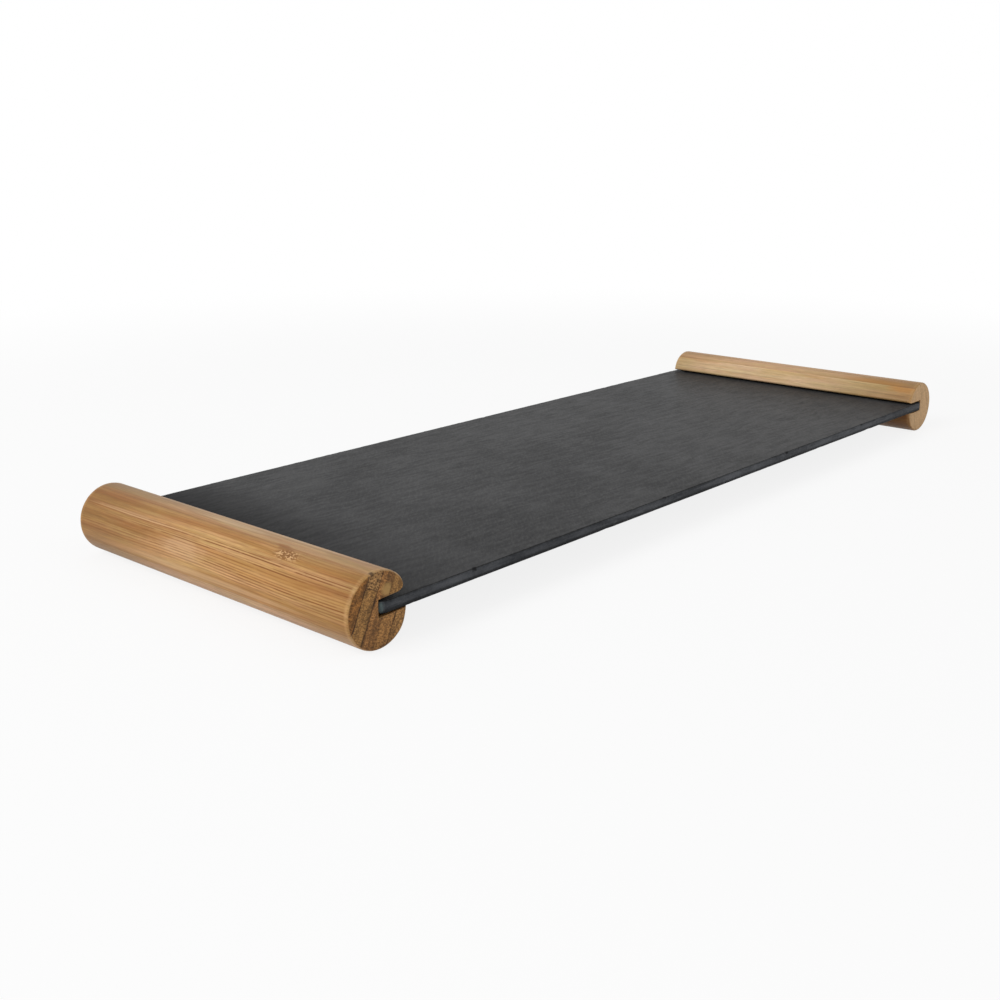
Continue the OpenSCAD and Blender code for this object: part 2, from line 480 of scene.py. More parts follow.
# How much of the glue shows on the rod's side, and at the joint through the slot's lips
GLUE_ON_SIDE = 0.15
GLUE_AT_LIPS = 0.3


def end_shares(tree, coordinates, in_mm):
    """How much a place belongs to the rubbed rim, and how much to the sawn end of the rod."""
    facing = add(tree, "SeparateXYZ", {0: coordinates.outputs["Normal"]})
    squarely = add(tree, "Math", {0: facing.outputs["Y"]}, operation="ABSOLUTE")
    own = add(tree, "SeparateXYZ", {0: in_mm})
    out = add(tree, "Math", {0: own.outputs["Y"]}, operation="ABSOLUTE")
    worn = add(tree, "MapRange", {"Value": out, "From Min": rod_end / MM - RUBBED_MM,
                                  "From Max": (rod_end - RIM_R) / MM}, **EASED)
    end = add(tree, "MapRange", {"Value": squarely, "From Min": END_BEGINS, "From Max": END_FULL}, **EASED)
    return worn, end


def end_grain(tree, in_mm, tube, look, contrast):
    """Brown end grain: soft layers up the strip, a coarse mottle and dark dots."""
    dots = look["dots"]
    layered = add(tree, "VectorMath", {0: in_mm, 1: LAYER_WAVES}, operation="MULTIPLY")
    layers = add(tree, "TexNoise", {"Vector": layered, "Scale": 1.0, "Detail": 2.0})
    layer_gain = add(tree, "MapRange", {
        "Value": layers, "From Min": 0.35, "From Max": 0.65,
        "To Min": 1 - END_SWING * contrast, "To Max": 1 + END_SWING * contrast})
    mottled = add(tree, "VectorMath", {0: in_mm, 1: MOTTLE_WAVES}, operation="MULTIPLY")
    mottle = add(tree, "TexNoise", {"Vector": mottled, "Scale": 1.0, "Detail": 3.0, "Roughness": 0.7})
    mottle_gain = add(tree, "MapRange", {
        "Value": mottle, "From Min": 0.34, "From Max": 0.66,
        "To Min": 1 - (END_SWING + dots / 4) * contrast, "To Max": 1 + (END_SWING + dots / 2) * contrast})
    gain = add(tree, "Math", {0: mottle_gain, 1: layer_gain}, operation="MULTIPLY")
    ground = add(tree, "VectorMath", {0: linear(look["end"])[:3], "Scale": gain}, operation="SCALE")
    share = add(tree, "Math", {0: tube, 1: dots * contrast}, operation="MULTIPLY")
    return add(tree, "Mix", {SHARE: share, FIRST: ground, SECOND: linear(DOT_BROWN)}, data_type="RGBA")


def glue_and_shade_share(tree, in_mm, end, has_joint, contrast):
    """How much dark glue and painted joint shade shows: thin lines on the planes between the strips."""
    apart = add(tree, "SeparateXYZ", {0: in_mm})
    from_plane = add(tree, "Math", {0: apart.outputs["X"], 1: glue_core / MM}, operation="SUBTRACT")
    distance = add(tree, "Math", {0: from_plane, 1: strip_thick / MM / 2}, operation="PINGPONG")
    if has_joint:
        up = add(tree, "Math", {0: apart.outputs["Z"], 1: core_joint / MM}, operation="SUBTRACT")
        from_joint = add(tree, "Math", {0: up}, operation="ABSOLUTE")
        distance = add(tree, "Math", {0: distance, 1: from_joint}, operation="MINIMUM")
    uneven = add(tree, "TexNoise", {"Vector": in_mm, "Scale": GLUE_WAVES, "Detail": 3.0})
    width = add(tree, "MapRange", {"Value": uneven, "From Min": 0.35, "From Max": 0.65,
                                   "To Min": 0.55 * GLUE_LINE_MM, "To Max": 1.2 * GLUE_LINE_MM})
    line = add(tree, "MapRange", {"Value": distance, "From Min": width, "From Max": 0.1 * GLUE_LINE_MM},
               **EASED)
    at_lips = add(tree, "Math", {0: apart.outputs["X"], 1: glue_lip / MM, 2: 1.0}, operation="COMPARE")
    kept = add(tree, "MapRange", {"Value": at_lips, "To Min": 1.0, "To Max": GLUE_AT_LIPS})
    patchy = add(tree, "MapRange", {"Value": uneven, "From Min": 0.36, "From Max": 0.6, "To Min": 0.65})
    strength = add(tree, "MapRange", {"Value": end, "To Min": GLUE_ON_SIDE, "To Max": contrast})
    for gain in (kept, patchy, strength):
        line = add(tree, "Math", {0: line, 1: gain}, operation="MULTIPLY")
    return line


# %% [markdown]
# Bamboo also has single marks that no even pattern gives: a pale patch of pith, a dark pit, a
# cloud of sap. Each is a soft, ragged ellipsoid of colour at a place in the strip. Where the culm
# had a knuckle, the bundles break up and cross, and leave a small scar of short pale dashes
# with brown between them. It is a mark too, but with the flecks of a coarse noise inside it.

# %% Single marks and a knuckle scar
SCAR_SIZE = (2.5, 6.4, 2.2)
SCAR_WAVES = (1.2, 0.55, 1.2)
SCAR_BROWN, SCAR_PALE = "#7a4b18", "#dbb07d"
SCAR_STRENGTH = 0.85


def mark_share(tree, in_mm, place, size):
    """One in the middle of a soft ragged ellipsoid, which has half its strength at the given size."""
    off = add(tree, "VectorMath", {0: in_mm, 1: place}, operation="SUBTRACT")
    scaled = add(tree, "VectorMath", {0: off, 1: size}, operation="DIVIDE")
    spread = add(tree, "VectorMath", {0: scaled}, operation="LENGTH")
    stretched = add(tree, "VectorMath", {0: in_mm, 1: size}, operation="DIVIDE")
    ragged = add(tree, "TexNoise", {"Vector": stretched, "Scale": 1.6, "Detail": 3.0})
    edge = add(tree, "Math", {0: spread, 1: ragged}, operation="ADD")
    return add(tree, "MapRange", {"Value": edge, "From Min": 2.0, "From Max": 1.0}, **EASED)


def paint_marks(tree, in_mm, colour, marks):
    """Lays single marks over a colour: each has a place, a size, a hex colour and a strength."""
    for place, size, hex_colour, strength in marks:
        share = mark_share(tree, in_mm, place, size)
        held = add(tree, "Math", {0: share, 1: strength}, operation="MULTIPLY")
        colour = add(tree, "Mix", {SHARE: held, FIRST: colour, SECOND: linear(hex_colour)}, data_type="RGBA")
    return colour


def knuckle_scar(tree, in_mm, bent, colour, place):
    """Paints the scar of a knuckle, at a place in the strip's own coordinates, over a colour."""
    inside = mark_share(tree, in_mm, place, SCAR_SIZE)
    short = add(tree, "VectorMath", {0: bent, 1: SCAR_WAVES}, operation="MULTIPLY")
    fleck = add(tree, "TexNoise", {"Vector": short, "Scale": 1.0, "Detail": 2.0, "Distortion": 0.8})
    pale = add(tree, "MapRange", {"Value": fleck, "From Min": 0.44, "From Max": 0.6}, **EASED)
    flecks = add(tree, "Mix", {SHARE: pale, FIRST: linear(SCAR_BROWN), SECOND: linear(SCAR_PALE)},
                 data_type="RGBA")
    held = add(tree, "Math", {0: inside, 1: SCAR_STRENGTH}, operation="MULTIPLY")
    return add(tree, "Mix", {SHARE: held, FIRST: colour, SECOND: flecks}, data_type="RGBA")


# %% [markdown]
# The finish of a strip puts these layers together. The rods are sanded smooth and lacquered
# thinly, which gives a satin surface: a roughness near a half and a faint coat. The bundles
# stand a few hundredths of a millimetre below the ground, which is enough to break the gloss.

# %% The finish of a bamboo strip
LINE_BROWN = "#7a4310"
RUBBED_PALE = "#d3a873"
GLUE_AND_SHADE_BROWN = "#3a230f"
RELIEF_MM = 0.04
# How far a bundle dips, as a share of the fibres' relief, and how much rougher the sawn end is
BUNDLE_DIP = -0.8
END_DRYNESS = 0.25


def make_bamboo(name, side, shift, look):
    """Lacquered laminated bamboo for one strip, from the strip's look."""
    material, tree = new_material("lacquered_bamboo_" + name)
    coordinates, in_mm, bent = strip_coordinates(tree, side, shift)
    fibre, colour = ground_tone(tree, in_mm, bent, look)
    colour = paint_marks(tree, in_mm, colour, CLOUDS.get(name, ()))
    worn, end = end_shares(tree, coordinates, in_mm)
    unworn = add(tree, "Math", {0: 1.0, 1: worn}, operation="SUBTRACT")
    lines = bundle_lines(tree, in_mm, bent, look)
    strong = add(tree, "Math", {0: lines, 1: look["lines"]}, operation="MULTIPLY")
    share = add(tree, "Math", {0: strong, 1: unworn}, operation="MULTIPLY")
    colour = add(tree, "Mix", {SHARE: share, FIRST: colour, SECOND: linear(LINE_BROWN)}, data_type="RGBA")
    if name in KNUCKLES:
        colour = knuckle_scar(tree, in_mm, bent, colour, KNUCKLES[name])
    patchy = add(tree, "MapRange", {"Value": fibre, "From Min": 0.35, "From Max": 0.65, "To Min": 0.02,
                                    "To Max": 0.34})
    rubbed = add(tree, "Math", {0: worn, 1: patchy}, operation="MULTIPLY")
    colour = add(tree, "Mix", {SHARE: rubbed, FIRST: colour, SECOND: linear(RUBBED_PALE)}, data_type="RGBA")
    contrast = look.get("end_contrast", 1.0)
    sawn = end_grain(tree, in_mm, bundle_dots(tree, bent, look["pitch"]), look, contrast)
    colour = add(tree, "Mix", {SHARE: end, FIRST: colour, SECOND: sawn}, data_type="RGBA")
    colour = paint_marks(tree, in_mm, colour, MARKS.get(name, ()))
    glue = glue_and_shade_share(tree, in_mm, end, "core" in name, contrast)
    # The dark glue lines, which carry painted shade of the opened joints on the end
    colour = add(tree, "Mix", {SHARE: glue, FIRST: colour, SECOND: linear(GLUE_AND_SHADE_BROWN)}, data_type="RGBA")
    relief = add(tree, "Math", {0: share, 1: BUNDLE_DIP, 2: fibre}, operation="MULTIPLY_ADD")
    bump = add(tree, "Bump", {"Height": relief, "Strength": 0.3, "Distance": RELIEF_MM * MM})
    satin = add(tree, "MapRange", {"Value": fibre, "To Min": 0.42, "To Max": 0.6})
    dry = add(tree, "Math", {0: end, 1: END_DRYNESS, 2: satin}, operation="MULTIPLY_ADD")
    shader = add(tree, "BsdfPrincipled", {
        "Base Color": colour, "Roughness": dry, "IOR": 1.5, "Specular IOR Level": 0.25,
        "Coat Weight": 0.08, "Coat Roughness": 0.35, "Normal": bump})
    add(tree, "OutputMaterial", {"Surface": shader})
    return material


# %% [markdown]
# ## Drawing the rod's section with a compass
# The section of a slotted rod is drawn as a draughtsman would: straight lines for the slot's
# walls, and arcs that a spin of one corner about a centre leaves behind. The outline is filled
# as a single face. Drawing beats cutting a cylinder with a boolean here, because every arc
# keeps even steps, and the tangent arcs of the eased lips meet the rod's circle exactly. The two
# rods were slotted and sanded one at a time, so they differ. The left one's slot rises a little
# towards its mouth, was sawn a little too wide and has a well rounded upper lip. The right one's
# slot runs level, and its upper lip is hardly eased.

# %% The section of a rod
# Each rod's slot: the radius that eases its upper lip, how steeply its walls rise towards the
# mouth, and how much deeper than planned it was sawn below and behind the slate
LEFT_SLOT = {"lip_r": 3.0 * MM, "tilt": math.radians(3.0), "sink": 0.7 * MM, "behind": 0.35 * MM}
RIGHT_SLOT = {"lip_r": 1.0 * MM, "tilt": 0.0, "sink": 0.0, "behind": 0.0}
LOWER_LIP_R = 0.8 * MM
MOUTH_RIM_R = 3.0 * MM
ROD_ARC_STEPS = 168
LIP_ARC_STEPS = 8
mouth_radius = rod_radius - MOUTH_RIM_R


def drawn_arc(bm, corner, centre, angle, steps):
    """Spins a corner about a centre and returns the corner at the far end of the arc."""
    made = bmesh.ops.spin(bm, geom=[corner], cent=centre, axis=(0, 1, 0), dvec=(0, 0, 0), angle=angle,
                          steps=steps, use_merge=False, use_duplicate=False)
    return next(v for v in made["geom_last"] if isinstance(v, bmesh.types.BMVert))


def drawn_line(bm, corner, to_x, to_z):
    """A straight line from a corner to a place in the section."""
    end = bm.verts.new((to_x, 0, to_z))
    bm.edges.new((corner, end))
    return end


def wall_frame(slot, above):
    """A slot wall's direction outwards, its direction into the bamboo, and its distance from the axis."""
    tilt = slot["tilt"]
    height = slot_high if above else slot["sink"] - slot_low
    outwards = Vector((math.cos(tilt), 0, math.sin(tilt)))
    inwards = Vector((-math.sin(tilt), 0, math.cos(tilt))) * (1 if above else -1)
    return outwards, inwards, height * math.cos(tilt)


def on_wall(slot, above, from_axis):
    """The place on a slot wall at a distance from the rod's axis."""
    outwards, inwards, height = wall_frame(slot, above)
    return outwards * math.sqrt(from_axis ** 2 - height ** 2) + inwards * height


def lip_centre(slot, above):
    """Centre of the arc that touches both a slot wall and the rod's circle."""
    outwards, inwards, height = wall_frame(slot, above)
    lip_r = slot["lip_r"] if above else LOWER_LIP_R
    along = math.sqrt((rod_radius - lip_r) ** 2 - (height + lip_r) ** 2)
    return outwards * along + inwards * (height + lip_r)


def rod_section(slot):
    """The whole section of a slotted rod as one face in the XZ plane, with the slot towards +X."""
    bm = bmesh.new()
    upper, lower = lip_centre(slot, True), lip_centre(slot, False)
    upper_slope, lower_slope = math.atan2(upper.z, upper.x), math.atan2(-lower.z, lower.x)
    mouth = on_wall(slot, False, mouth_radius)
    lip_start = lower - wall_frame(slot, False)[1] * LOWER_LIP_R
    first = bm.verts.new((-slot["behind"], 0, slot_low - slot["sink"]))
    corner = drawn_line(bm, first, mouth.x, mouth.z)
    corner = drawn_line(bm, corner, lip_start.x, lip_start.z)
    corner = drawn_arc(bm, corner, lower, math.pi / 2 + slot["tilt"] + lower_slope, LIP_ARC_STEPS)
    corner = drawn_arc(bm, corner, (0, 0, 0), 2 * math.pi - upper_slope - lower_slope, ROD_ARC_STEPS)
    corner = drawn_arc(bm, corner, upper, math.pi / 2 - slot["tilt"] + upper_slope, LIP_ARC_STEPS)
    corner = drawn_line(bm, corner, -slot["behind"], slot_high)
    bm.edges.new((corner, first))
    bmesh.ops.contextual_create(bm, geom=bm.edges)
    return bm


# %% [markdown]
# ## One slotted rod
# The section is extruded along the rod in steps that crowd towards its ends. Each step near an
# end is then drawn in to the radius that a turned, rounded rim has there. Beside the mouth of
# the slot the rim is sanded rounder, because fingers reach in there, and the slot's sharp edges
# get a small chamfer. Pulling the rings in is steadier than a bevel, which would tear where the
# rim meets the thin lips of the slot.

# %% The solid rod, rounded at its ends
# How far the rings that round a rim lie below the end face, and the directions from the axis
# between which the rim grows rounder towards the slot's mouth
RIM_DEPTHS = [depth * MM for depth in (0, 0.16, 0.43, 0.79, 1.2, 1.7, 2.3, 3.0)]
MOUTH_FROM, MOUTH_TO = math.radians(50), math.radians(5)
NEAR = 0.01 * MM
CHAMFER = RIM_DEPTHS[1]


def rim_radius(x, z):
    """Radius of the rounded rim in a direction from the axis: it grows towards the slot's mouth."""
    share = (abs(math.atan2(z, x)) - MOUTH_FROM) / (MOUTH_TO - MOUTH_FROM)
    share = min(max(share, 0.0), 1.0)
    return RIM_R + (MOUTH_RIM_R - RIM_R) * share * share * (3 - 2 * share)


def draw_in(v, slot):
    """Draws a corner near the rod's end in to the rounded rim, or to the slot's chamfer."""
    depth = rod_end - abs(v.co.y)
    rim = rim_radius(v.co.x, v.co.z)
    if depth > rim - NEAR:
        return
    allowed = rod_radius - rim + math.sqrt(rim ** 2 - (rim - depth) ** 2)
    from_axis = math.hypot(v.co.x, v.co.z)
    if from_axis > allowed:
        v.co.x *= allowed / from_axis
        v.co.z *= allowed / from_axis
        above = v.co.z > (slot_low + slot_high) / 2
        limit = on_wall(slot, above, allowed)
        if v.co.x > 0 and abs(v.co.z - limit.z) > NEAR and (v.co.z < limit.z) == above:
            v.co.x, v.co.z = limit.x, limit.z
    elif depth < NEAR:
        centre = lip_centre(slot, v.co.z > 0)
        inward = Vector((min(centre.x - v.co.x, 0), 0, centre.z - v.co.z))
        if v.co.x < NEAR:
            v.co.x -= CHAMFER
        v.co += inward.normalized() * CHAMFER


def slotted_rod(slot):
    """A whole rod as one closed solid, with its axis on Y and its slot towards +X."""
    bm = rod_section(slot)
    stations = [depth - rod_end for depth in RIM_DEPTHS] + [rod_end - depth for depth in RIM_DEPTHS[::-1]]
    bmesh.ops.translate(bm, verts=bm.verts, vec=(0, stations[0], 0))
    end_face = bm.faces[:][0]
    for before, after in zip(stations, stations[1:]):
        made = bmesh.ops.extrude_face_region(bm, geom=[end_face] + end_face.edges[:])
        moved = [v for v in made["geom"] if isinstance(v, bmesh.types.BMVert)]
        bmesh.ops.translate(bm, verts=moved, vec=(0, after - before, 0))
        end_face = next(f for f in made["geom"] if isinstance(f, bmesh.types.BMFace))
    for v in bm.verts:
        draw_in(v, slot)
    bmesh.ops.remove_doubles(bm, verts=bm.verts, dist=2 * NEAR)
    bmesh.ops.recalc_face_normals(bm, faces=bm.faces)
    return bm


whole_rods = {-1: slotted_rod(LEFT_SLOT), 1: slotted_rod(RIGHT_SLOT)}
for whole_rod in whole_rods.values():
    open_edges = [e for e in whole_rod.edges if not e.is_manifold]
    print("slotted rod:", len(whole_rod.faces), "faces,", len(open_edges), "open edges, volume in cm3",
          round(whole_rod.calc_volume() * 1e6, 1))

# %% [markdown]
# ## Splitting the rod along its glue lines
# A real rod is turned from a block of strips that are already glued. So each strip here is a
# copy of the whole rod that is bisected along the glue planes that bound it, and the open cuts
# are filled. The strips then meet face to face. Along each glue line the corners are sunk by a
# hair's breadth: bamboo swells and shrinks beside its glue, and the fine groove that this
# leaves is what makes the joint show.

# %% One bamboo strip
GROOVE_WIDTH = 0.14 * MM
GROOVE_DEPTH = 0.06 * MM
SHARP_ANGLE = math.radians(32)


def cut(bm, direction, place, keep_beyond):
    """Cuts a closed solid along a plane, keeps one side of it and fills the cut."""
    made = bmesh.ops.bisect_plane(bm, geom=bm.verts[:] + bm.edges[:] + bm.faces[:], dist=NEAR / 10,
                                  plane_co=direction * place, plane_no=direction,
                                  clear_inner=keep_beyond, clear_outer=not keep_beyond)
    rims = [e for e in made["geom_cut"] if isinstance(e, bmesh.types.BMEdge)]
    bmesh.ops.holes_fill(bm, edges=rims, sides=0)


def sink_glue_line(bm, direction, place, keep_beyond):
    """Adds a line beside a glue plane and sinks the outer corners that lie on the plane."""
    beside = place + (GROOVE_WIDTH if keep_beyond else -GROOVE_WIDTH)
    bmesh.ops.bisect_plane(bm, geom=bm.verts[:] + bm.edges[:] + bm.faces[:], dist=NEAR / 10,
                           plane_co=direction * beside, plane_no=direction)
    for v in bm.verts:
        if abs(v.co.dot(direction) - place) > NEAR:
            continue
        from_axis = Vector((v.co.x, 0, v.co.z))
        if from_axis.length > rod_radius - RIM_R - NEAR:
            v.co -= from_axis.normalized() * GROOVE_DEPTH
        if rod_end - abs(v.co.y) < CHAMFER + NEAR:
            v.co.y -= math.copysign(GROOVE_DEPTH, v.co.y)


def strip_shape(side, planes, above_slot):
    """One strip, cut from a whole rod by the planes that bound it, and still in the rod's frame."""
    bm = whole_rods[side].copy()
    for plane in planes:
        cut(bm, *plane)
    if above_slot is not None:
        middle = (slot_low + slot_high) / 2
        wrong = [v for v in bm.verts if (v.co.z > middle) != above_slot]
        bmesh.ops.delete(bm, geom=wrong, context="VERTS")
    for plane in planes:
        sink_glue_line(bm, *plane)
    return bm


def make_strip(name, side, planes, above_slot, material):
    """One strip of a rod, put in place at its end of the board."""
    bm = strip_shape(side, planes, above_slot)
    if side > 0:
        bmesh.ops.rotate(bm, verts=bm.verts, cent=(0, 0, 0), matrix=Matrix.Rotation(math.pi, 3, "Z"))
    bmesh.ops.translate(bm, verts=bm.verts, vec=(side * axis_x, 0, rod_radius))
    bmesh.ops.recalc_face_normals(bm, faces=bm.faces)
    left_open = sum(not e.is_manifold for e in bm.edges)
    strip = finished_piece(bm, "bamboo_" + name, material)
    strip.data.shade_smooth()
    strip.data.set_sharp_from_angle(angle=SHARP_ANGLE)
    flat_caps = strip.modifiers.new("flat_end_faces", "WEIGHTED_NORMAL")
    flat_caps.keep_sharp = True
    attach(strip, "root")
    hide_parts(name)
    print(strip.name, len(strip.data.polygons), "faces,", left_open, "open edges")


# %% [markdown]
# The seven strips of a rod differ only in the planes that bound them and in their look, so one
# table holds them all. A look gives the three ground colours, the colour of the end, the
# pitch of the dots and the spacing of the lines in mm, how strongly both show, and the
# direction across the rows. The lines of the back strip are strongest round its middle. Both
# rods are glued up alike and face each other, so the same table serves twice. The clouds and
# marks are single places, in the strip's own millimetres.

# %% All strips of both rods
GOLD = {"pale": "#c89d66", "deep": "#b08046", "amber": "#a06a2e"}
AMBER = {"pale": "#bd8b55", "deep": "#a5733d", "amber": "#99652f"}
STRAW = {"pale": "#bf9a6c", "deep": "#ab8557", "amber": "#a07541"}
WHEAT = {"pale": "#d0aa7f", "deep": "#bc956a", "amber": "#b08351"}
CREAM = {"pale": "#e3c49a", "deep": "#d8b78c", "amber": "#c89b64"}
STRIPS = {
    "back_strip": {
        "planes": [(ACROSS, glue_back, False)], **GOLD, "end": "#85592a", "pitch": 0.95, "dots": 0.5,
        "rows": (0.1, 0, 1), "spacing": 1.1, "lines": 1.0, "lines_at": 0.2, "lines_within": 3.4},
    "core_strip_upper": {
        "planes": [(ACROSS, glue_back, True), (ACROSS, glue_core, False), (UP_STRIP, core_joint, True)],
        **STRAW, "end": "#9a7346", "pitch": 1.2, "dots": 0.8,
        "rows": (1, 0, 0.2), "spacing": 1.5, "lines": 0.3},
    "core_strip_lower": {
        "planes": [(ACROSS, glue_back, True), (ACROSS, glue_core, False), (UP_STRIP, core_joint, False)],
        **WHEAT, "end": "#946c3c", "pitch": 0.8, "dots": 0.5,
        "rows": (1, 0, -0.2), "spacing": 1.4, "lines": 0.4},
    "slot_strip": {
        "planes": [(ACROSS, glue_core, True), (ACROSS, glue_lip, False)],
        **STRAW, "end": "#8b6136", "pitch": 0.85, "dots": 0.5,
        "rows": (1, 0, 0.1), "spacing": 1.6, "lines": 0.35},
    "upper_lip": {
        "planes": [(ACROSS, glue_lip, True)], "above": True,
        **CREAM, "end": "#956d3d", "pitch": 0.8, "dots": 0.4,
        "rows": (0.8, 0, -0.6), "spacing": 1.5, "lines": 0.25},
    "lower_lip": {
        "planes": [(ACROSS, glue_lip, True), (ACROSS, glue_edge, False)], "above": False,
        **AMBER, "end": "#90673a", "pitch": 0.85, "dots": 0.5,
        "rows": (1, 0, 0.2), "spacing": 1.5, "lines": 0.4},
    "lower_edge": {
        "planes": [(ACROSS, glue_edge, True)], "above": False,
        **AMBER, "end": "#9d7343", "pitch": 0.95, "dots": 0.5,
        "rows": (0.5, 0, 0.9), "spacing": 1.4, "lines": 0.5},
}
KNUCKLES = {"left_back_strip": (-12.0, -44.7, 9.0), "right_core_strip_lower": (-7.0, 31.0, -13.0),
            "left_lower_edge": (11.0, 38.0, -9.0)}
# The right rod is drawn paler and quieter: its top and its ends get paler colours, and its grain shows less
RIGHT_ROD = {"end": "#cba67a", "end_contrast": 0.22, "lines": 0.12}
RIGHT_STRIPS = {"core_strip_upper": WHEAT, "slot_strip": WHEAT}
CLOUDS = {
    "left_core_strip_upper": [
        ((-9.3, 46, 11.8), (1.3, 50.0, 1.3), "#9a6833", 0.55),
        ((-9.6, -30, 11.6), (0.8, 42.0, 0.9), "#a87440", 0.5),
        ((-6.5, 58, 13.6), (1.6, 12.0, 1.2), "#a5804f", 0.4),
        ((-6.0, -4, 13.8), (1.8, 20.0, 1.2), "#d8b995", 0.4)],
    "left_slot_strip": [
        ((-1.5, -40, 14.9), (2.0, 26.0, 1.2), "#d6b48c", 0.4)],
    "right_slot_strip": [
        ((0.5, 60, 14.8), (2.6, 18.0, 1.6), "#b8803f", 0.45)],
    "right_upper_lip": [
        ((3.6, 79, 14.2), (3.0, 9.0, 1.8), "#c27c33", 0.45)],
    "left_back_strip": [
        ((-10.2, 20, 11.1), (1.1, 95.0, 0.9), "#9c6d36", 0.45),
        ((-11.8, 0, -9.4), (1.8, 46.0, 1.3), "#d2ad80", 0.5),
        ((-10.6, -62, 10.4), (2.0, 14.0, 1.9), "#a07c49", 0.5),
        ((-11.0, 64, 10.4), (2.0, 14.0, 1.7), "#95602d", 0.55),
        ((-12.5, 20, 8.3), (1.4, 14.0, 1.2), "#9d6730", 0.4),
        ((-14.3, 44, 4.9), (2.0, 30.0, 0.8), "#d0a87b", 0.55),
        ((-14.9, 12, -1.5), (3.0, 12.0, 4.2), "#d0aa83", 0.45),
        ((-15.0, -45, -1.2), (2.5, 34.0, 3.4), "#b67f3c", 0.35),
        ((-9.6, -10, -11.5), (1.5, 90.0, 0.45), "#8a5527", 0.5)],
}
MARKS = {
    "left_back_strip": [
        ((-10.2, -41.5, 11.0), (1.3, 4.2, 1.1), "#7d4b1f", 0.6)],
    "left_core_strip_upper": [
        ((-8.9, -85.5, 12.2), (1.0, 1.2, 0.8), "#3a2410", 0.85),
        ((-9.3, -39, 11.7), (1.0, 4.0, 0.9), "#8a5526", 0.65)],
    "left_slot_strip": [
        ((0.5, -86, 8.1), (2.3, 1.5, 2.3), "#b99359", 0.8)],
}

# Each strip and each rod has its own part of the noise, this many mm away from the last one's
STRIP_SHIFT = Vector((17, 130, 29))
ROD_SHIFT = Vector((0, 400, 0))

for side, end_name in ((-1, "left_"), (1, "right_")):
    for number, (strip_name, look) in enumerate(STRIPS.items()):
        name = end_name + strip_name
        shift = STRIP_SHIFT * number + ROD_SHIFT * side
        if side > 0:
            look = {**look, **RIGHT_ROD, **RIGHT_STRIPS.get(strip_name, {})}
        material = make_bamboo(name, side, shift, look)
        make_strip(name, side, look["planes"], look.get("above"), material)
for whole_rod in whole_rods.values():
    whole_rod.free()

# %% [markdown]
# ## Slate
# Slate splits into sheets along its cleavage. A serving slab is split, honed lightly and oiled,
# and its edges are dressed by hand, which leaves a rough, chipped arris all round. A plain box
# looks like plastic, so the slab starts as a fine grid given a thickness, whose rows crowd
# towards the two long edges.

# %% The shell of the slab
GRID_X = 508
GRID_Y = 60
# Rows of the grid beside each long edge, by their distance from it in mm
EDGE_ROWS = (0.3, 0.6, 1.0, 1.5, 2.2, 3.2)
SIDE_CUTS = 7
half_slab = (slate_high - slate_low) / 2
slab_centre = (slate_high + slate_low) / 2


def slab_shell():
    """The slab as a closed shell round the origin, with its sides in a material of their own."""
    bm = bmesh.new()
    bmesh.ops.create_grid(bm, x_segments=GRID_X, y_segments=GRID_Y, size=1.0)
    rows = sorted({round(v.co.y, 5) for v in bm.verts})
    edge_rows = [half_slab.y] + [half_slab.y - row * MM for row in EDGE_ROWS]
    count = len(rows) - 2 * len(edge_rows)
    middle = [edge_rows[-1] * (2 * (i + 1) / (count + 1) - 1) for i in range(count)]
    new_y = dict(zip(rows, [-y for y in edge_rows] + middle + edge_rows[::-1]))
    for v in bm.verts:
        v.co = Vector((v.co.x * half_slab.x, new_y[round(v.co.y, 5)], half_slab.z))
    bmesh.ops.solidify(bm, geom=bm.faces[:], thickness=2 * half_slab.z)
    upright = [e for e in bm.edges if abs(e.verts[0].co.z - e.verts[1].co.z) > half_slab.z]
    bmesh.ops.subdivide_edges(bm, edges=upright, cuts=SIDE_CUTS, use_grid_fill=True)
    z_mid = (max(v.co.z for v in bm.verts) + min(v.co.z for v in bm.verts)) / 2
    bmesh.ops.translate(bm, verts=bm.verts, vec=(0, 0, -z_mid))
    bmesh.ops.recalc_face_normals(bm, faces=bm.faces[:])
    for face in bm.faces:
        face.material_index = 1 if abs(face.normal.z) < 0.5 else 0
        face.smooth = True
    return bm


# %% [markdown]
# Tools and use then take their share. Every corner line is worn back by an amount that noise
# changes along it, with chance nicks where another noise peaks and a few deeper ones that are
# listed. The faces keep the shallow waves of the split, and the sides their tool marks.

# %% How the slab is worn
# Each kind of wear is a level in mm, and waves over it by their size and height in mm and seed
CORNER_WEAR = (0.46, ((5, 0.18, 0), (1.9, 0.16, 20)))
UPRIGHT_WEAR = (1.8, ((2, 0.4, 5),))
FACE_WEAR = (0.05, ((45, 0.05, 2), (9, 0.02, 8)))
SIDE_WEAR = (0.16, ((7, 0.12, 11), (2.2, 0.09, 13)))
UNDERSIDE_SHARE = 0.55
# Chance nicks: the size of their noise in mm, its seed, where it starts to bite and how deep
CHANCE_SIZE, CHANCE_SEED, CHANCE_FROM, CHANCE_DEPTH = 9, 40, 0.44, 2.6
# Nicks of the front upper corner line in mm: place along X, half width and depth
NICKS = ((-180.0, 1.3, 0.9), (-131, 1.1, 0.5), (-52, 1.7, 0.7), (61, 1.3, 0.8), (147, 1.8, 0.6))


def waver(place, size, seed):
    """Smooth noise from about minus one to one, whose waves have a given size in mm."""
    across = size * MM
    return noise.noise(Vector((place.x / across, place.y / across, place.z / across + seed)))


def wear_at(place, kind, seed=0):
    """How many mm one kind of wear takes off at a place."""
    level, waves = kind
    for size, height, own_seed in waves:
        level += height * waver(place, size, seed + own_seed)
    return level


